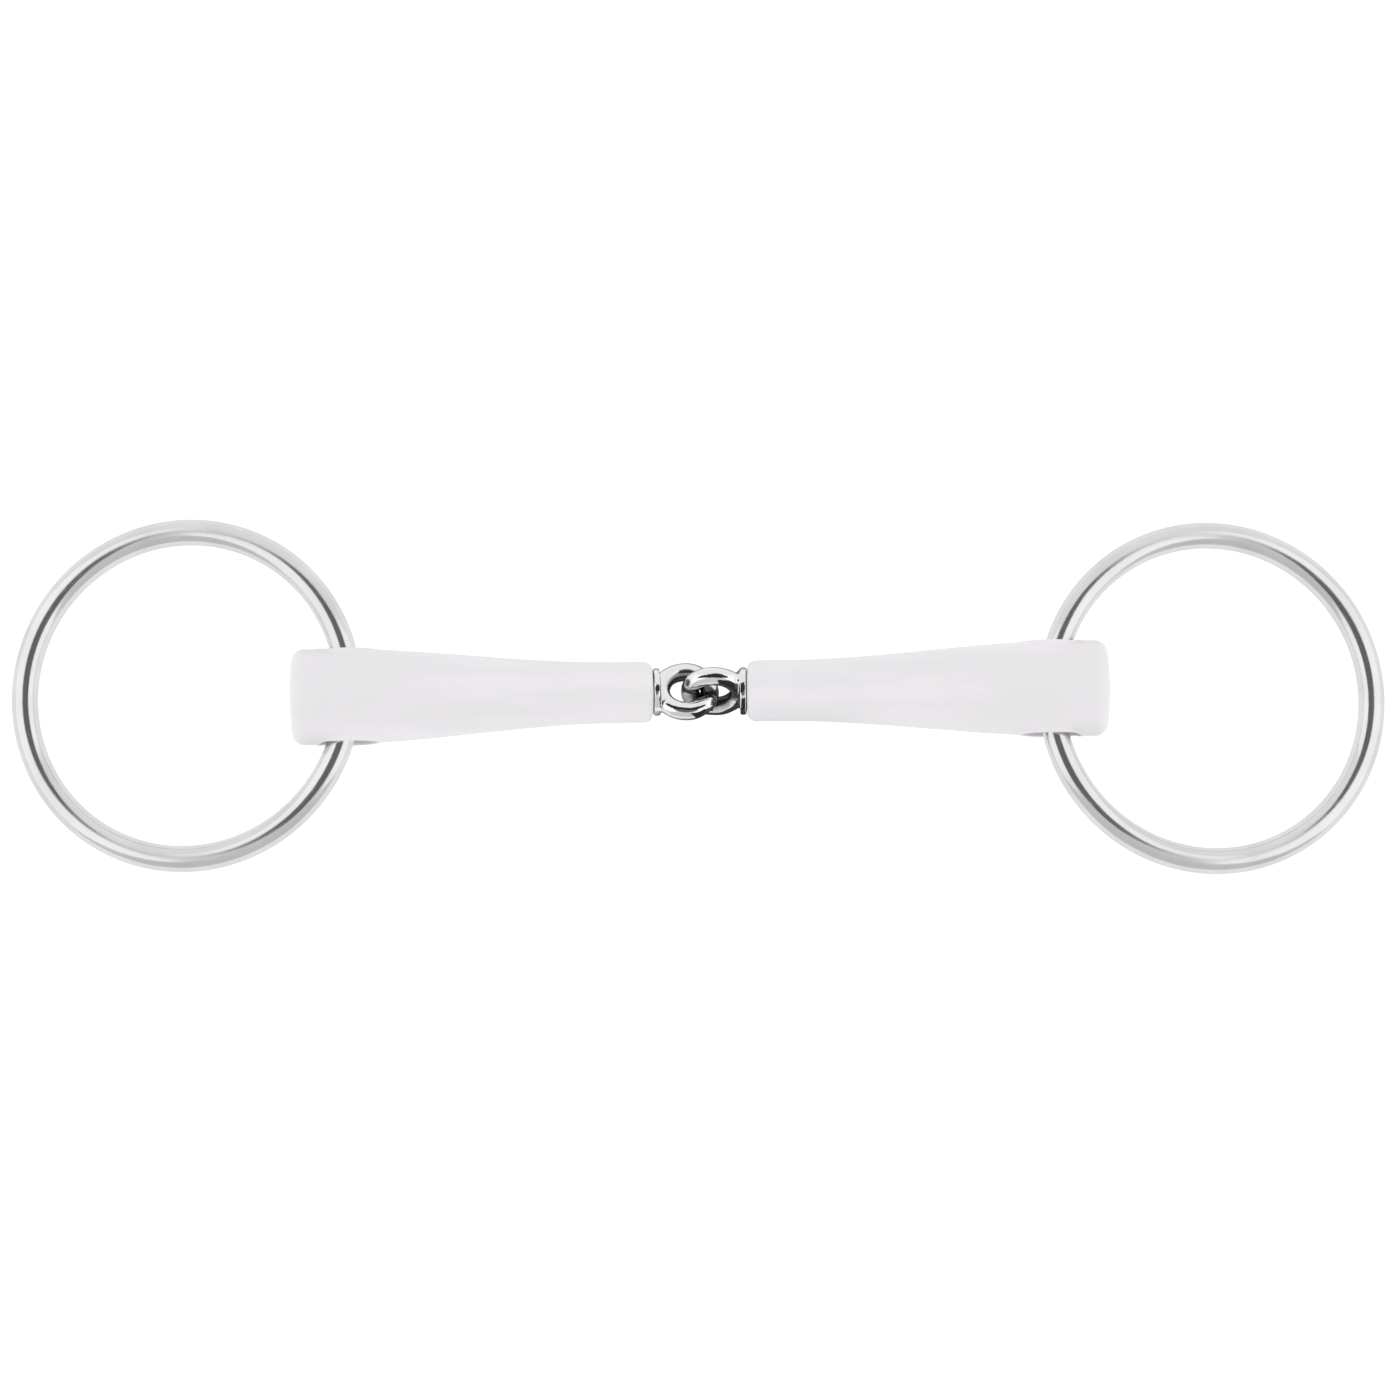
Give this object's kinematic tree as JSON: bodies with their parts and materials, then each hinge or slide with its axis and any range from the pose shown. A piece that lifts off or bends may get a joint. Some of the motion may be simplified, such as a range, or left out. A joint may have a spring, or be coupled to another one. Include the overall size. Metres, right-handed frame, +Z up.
{
  "type": "snaffle bit",
  "caption": "Loose-ring jointed snaffle bit: tapered moulded sleeves on steel cores that link at the centre through round eyes, with a round steel ring at each outer end.",
  "frame": {"origin": "on the table, midway between the two rings' seats", "axes": "+X along the mouthpiece towards the right ring, +Y across it in the table's plane, +Z up from the table it lies on"},
  "size_m": [0.276, 0.074, 0.0196],
  "materials": {
    "ring_steel": "polished stainless steel",
    "core_steel": "polished stainless steel, forged",
    "bush_steel": "satin stainless steel",
    "sleeve_plastic": "satin moulded plastic, off-white"
  },
  "bodies": {
    "left_cannon": {"core_left": "core_steel", "sleeve_left": "sleeve_plastic"},
    "left_bush": {"ring_bush_left": "bush_steel"},
    "left_ring": {"ring_left": "ring_steel"},
    "right_cannon": {"core_right": "core_steel", "sleeve_right": "sleeve_plastic"},
    "right_bush": {"ring_bush_right": "bush_steel"},
    "right_ring": {"ring_right": "ring_steel"}
  },
  "joints": [
    {"name": "centre_fold", "type": "hinge", "parent": "left_cannon", "child": "right_cannon", "pos_m": [-0.002, 0.00072, 0.00596], "axis": [-0.0387, 0.5004, 0.8649], "range_deg": [-110, 110]},
    {"name": "left_ring_swing", "type": "hinge", "parent": "left_cannon", "child": "left_bush", "pos_m": [-0.07071, 0, 0.00962], "axis": [-0.0099, 1, 0], "range_deg": [-145, 165]},
    {"name": "left_ring_turn", "type": "hinge", "parent": "left_bush", "child": "left_ring", "pos_m": [-0.1027, 0.00121, 0.00615], "axis": [-0.1079, 0, 0.9942], "continuous": true},
    {"name": "right_ring_swing", "type": "hinge", "parent": "right_cannon", "child": "right_bush", "pos_m": [0.07071, 0, 0.00962], "axis": [-0.0099, -1, 0], "range_deg": [-145, 165]},
    {"name": "right_ring_turn", "type": "hinge", "parent": "right_bush", "child": "right_ring", "pos_m": [0.10267, -0.00178, 0.00615], "axis": [0.1079, 0, 0.9942], "continuous": true}
  ]
}
